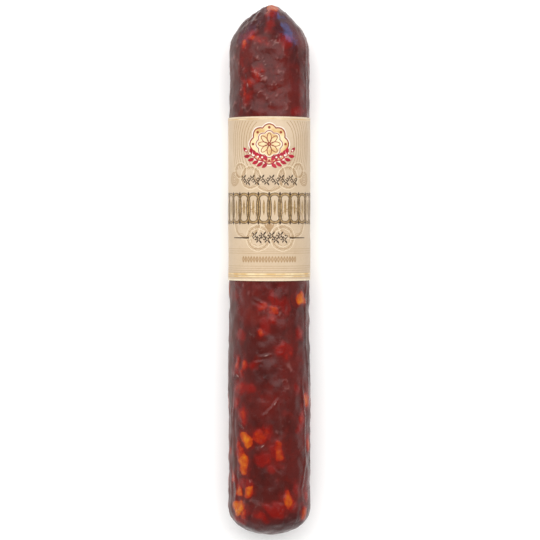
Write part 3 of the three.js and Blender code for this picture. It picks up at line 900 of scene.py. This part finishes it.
# A row of upright lozenges, pinstripes round the whole label, gold bands at its edges, and pale lines right
# at both edges, painted highlights where the paper's cut edges catch the light.
beads = [stroke(loop_path((bead, 6.4), 0.5, 1.5, corner=1.3, count=20), 0.6, joined=True)
         for bead in np.linspace(-15.6, 15.6, 19)]
pinstripes = [rule(along, 0.2) for along in np.arange(-1.0, 13.4, 1.2) if not 3.6 < along < 9.2]
gold_bands = [rule(-3.2, 0.5), rule(-1.9, 0.9), rule(band_top - 1.4, 0.35)]
shades = [rule(-2.55, 0.22), rule(-3.65, 0.2)]
painted_edge_highlights = [rule(band_bottom + 0.55, 0.8), rule(band_top - 0.45, 0.5)]

# The back has a plain panel inside two lines, with a vine at its head.
back = whole_turn / 2
for grow, width in ((0.0, 0.5), (1.4, 0.22)):
    panel = loop_path((back - 14.5, 68.4), 15 + grow, 12.5 + grow, corner=7, count=120)
    outlines.append(stroke(panel, width, joined=True))
vines += vine(back - 24, back - 5, 50.6, 6.0, 4.8)

print_on_label("print_tan_ground", tints + pinstripes + shades, tan_ink, 0.02)
# The pale ink also carries the painted highlights along the label's edges.
print_on_label("print_pale_ground_and_edge_highlights", lights + painted_edge_highlights, pale_ink, 0.025)
print_on_label("print_gold", arcade, gold_ink, 0.035)
print_on_label("print_tan_ornament", beads + vase, tan_ink, 0.03)
print_on_label("print_bright_gold", gold_bands + rosette_gold, bright_gold_ink, 0.035)
print_on_label("print_white_edges", rosette_white, white_ink, 0.04)
print_on_label("print_sepia", outlines + vines, brown_ink, 0.05)
print_on_label("print_russet", rosette_red, russet_ink, 0.05)
print_on_label("print_sprays", sprays, crimson_ink, 0.06)
print_on_label("print_berries", berries, white_ink, 0.075)


# ---- The clips ----
# A clip of flattened aluminium wire, bent round the gathered neck and crimped until its legs meet on the
# side away from the sausage. The press leaves its edges rounded and its back marked across.

def clip_ring(end, count=96, corner_count=7):
    """A rounded rectangle, the wire's section, carried round an oval with a gap where the legs meet. It
    shrinks to its middle at both cut ends, and is pressed thinner by a cosine along the way."""
    low, high = (np.array(corner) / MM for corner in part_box(end["clip"]))
    middle = (low + high) / 2
    middle[0] = end["aside"]
    across = np.array([1.0, 0, 0])
    outward = np.array([0, end["outward"] * np.cos(neck_lean), np.sin(neck_lean)])
    down = np.array([0, end["outward"] * np.sin(neck_lean), -np.cos(neck_lean)])

    seam = 0.075
    round_it = np.linspace(np.pi / 2 + seam, 2.5 * np.pi - seam, count)
    half_wide = neck_half_width + clip_gap + clip_wall / 2
    half_deep = neck_half_depth + clip_gap + clip_wall / 2
    ring = np.column_stack([half_wide * np.cos(round_it), half_deep * np.sin(round_it)])
    face = np.column_stack([half_deep * np.cos(round_it), half_wide * np.sin(round_it)])
    face /= np.linalg.norm(face, axis=1, keepdims=True)

    rounding = 0.32
    corner = np.linspace(0, np.pi / 2, corner_count)
    thick, wide = clip_wall / 2 - rounding, clip_width / 2 - rounding
    section = np.concatenate([
        np.column_stack([sx * thick + rounding * np.cos(corner + start),
                         sz * wide + rounding * np.sin(corner + start)])
        for sx, sz, start in ((1, 1, 0), (-1, 1, np.pi / 2), (-1, -1, np.pi), (1, -1, 1.5 * np.pi))])

    rounded_rows = 3
    from_cut = np.minimum(np.arange(count), np.arange(count)[::-1])
    full = np.sqrt(1 - (1 - np.clip(from_cut / rounded_rows, 0.0, 1)) ** 2 * 0.8)
    pressed = 1 - 0.05 * np.cos(6 * round_it) ** 8
    radial = ring[:, None] + face[:, None] * (section[None, :, :1] * (full * pressed)[:, None, None])
    along = section[None, :, 1] * full[:, None]
    return (middle + radial[..., :1] * across + radial[..., 1:] * outward + along[..., None] * down)


def pressed_aluminium():
    """Half-hard aluminium wire, drawn, then flattened by the press: half bright, with fine lines along it
    and a little grey dirt between them."""
    material, tree = blank_material("pressed_aluminium_wire")
    place = add(tree, "ShaderNodeTexCoord").outputs["Object"]
    lengthways = add(tree, "ShaderNodeVectorMath", {0: place, 1: (0.25, 0.5, 2.5)}, operation="MULTIPLY")
    lines = noise(tree, lengthways, 0.8, 4.0)
    colour = add(tree, "ShaderNodeValToRGB", {"Fac": lines}, stops=(
        (0.35, "#9d9fa3"), (0.55, "#c3c5c8"), (0.7, "#d3d4d6")))
    rough = remap(tree, lines, 0.0, 1.0, 0.45, 0.25)
    bump = add(tree, "ShaderNodeBump", {"Height": lines, "Strength": 0.5, "Distance": 0.05 * MM})
    give_surface(tree, {"Base Color": colour, "Roughness": rough, "Metallic": 1.0, "Normal": bump})
    return material


aluminium = pressed_aluminium()
for end in (upper_end, lower_end):
    clip = closed_mesh("crimped_" + end["clip"], clip_ring(end))
    clip.data.materials.append(aluminium)
    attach(clip, "root")
    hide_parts(end["clip"])


# ---- The table, the light and the camera ----
# A plain white table under soft studio light, seen from almost straight above.

def add_table():
    """One square of 6 metres."""
    half = 3.0
    corners = [(-half, -half, 0), (half, -half, 0), (half, half, 0), (-half, half, 0)]
    mesh = bpy.data.meshes.new("table")
    mesh.from_pydata(corners, [], [(0, 1, 2, 3)])
    table = bpy.data.objects.new("table", mesh)
    bpy.context.scene.collection.objects.link(table)
    material, tree = blank_material("white_laminate")
    give_surface(tree, {"Base Color": linear("#fdfdfc"), "Roughness": 0.8, "Specular IOR Level": 0.1})
    mesh.materials.append(material)


def add_room_light(overhead=0.13, level=0.8, dim_side=0.6):
    """The room is brighter towards the horizon than overhead, where the camera is, and dimmer towards
    +X."""
    world = bpy.data.worlds.new("white_room")
    bpy.context.scene.world = world
    world.use_nodes = True
    tree = world.node_tree
    tree.nodes.clear()
    direction = add(tree, "ShaderNodeTexCoord").outputs["Generated"]
    direction = add(tree, "ShaderNodeSeparateXYZ", {"Vector": direction}).outputs
    strength = combine(tree, "MULTIPLY",
                       remap(tree, direction["Z"], 0.35, 0.85, level, overhead, "SMOOTHSTEP"),
                       remap(tree, direction["X"], 0.0, 0.7, 1.0, dim_side, "SMOOTHSTEP"))
    background = add(tree, "ShaderNodeBackground", {"Color": (1, 1, 1, 1), "Strength": strength})
    add(tree, "ShaderNodeOutputWorld", {"Surface": background})


def add_light(name, kind, energy, place, aim=(0, 0, 0), **settings):
    """A light of one kind, turned from its place to its aim."""
    data = bpy.data.lights.new(name, kind)
    data.energy = energy
    for key, value in settings.items():
        setattr(data, key, value)
    light = bpy.data.objects.new(name, data)
    bpy.context.scene.collection.objects.link(light)
    light.location = place
    way = np.array(aim, float) - place
    light.rotation_euler = (np.arctan2(np.hypot(way[0], way[1]), -way[2]), 0, np.arctan2(-way[0], way[1]))
    return light


def add_camera(height=1.2, forward=0.026, aside=0.0004, view_width=0.3067):
    """Looks down on the sausage's middle from a little way towards its labelled end. The view is as wide
    as given at the height of the sausage's axis."""
    data = bpy.data.cameras.new("camera")
    camera = bpy.data.objects.new("camera", data)
    bpy.context.scene.collection.objects.link(camera)
    bpy.context.scene.camera = camera
    camera.location = (aside, forward, axis_height * MM + height)
    camera.rotation_euler = (-np.arctan2(forward, height), 0, 0)
    data.sensor_width = 36
    data.lens = data.sensor_width * np.hypot(forward, height) / view_width


add_table()
add_room_light()
# Light from the whole ceiling, which the glossy casing doesn't mirror, and three softboxes that it does: a
# wide one high up past the labelled end, and two small bluish ones just above the table past that end. The
# small ones show only as reflections.
ceiling = add_light("ceiling", "SUN", 1.25, (0, 0, 2), angle=np.radians(70))
ceiling.visible_glossy = False
add_light("wide_softbox", "AREA", 31.0, (0.05, 0.62, 1.5), shape="RECTANGLE", size=3.1, size_y=1.15)
for side, energy, tint in ((1, 1.5, "#54aeff"), (-1, 0.4, "#c0ccff")):
    low_softbox = add_light("low_softbox", "AREA", energy, (0.3 * side, 0.42, 0.08), (0, 0.14, 0.02),
                            shape="RECTANGLE", size=0.28, size_y=0.18, color=linear(tint)[:3])
    low_softbox.visible_diffuse = False
add_camera()
bpy.context.scene.view_settings.view_transform = "Standard"
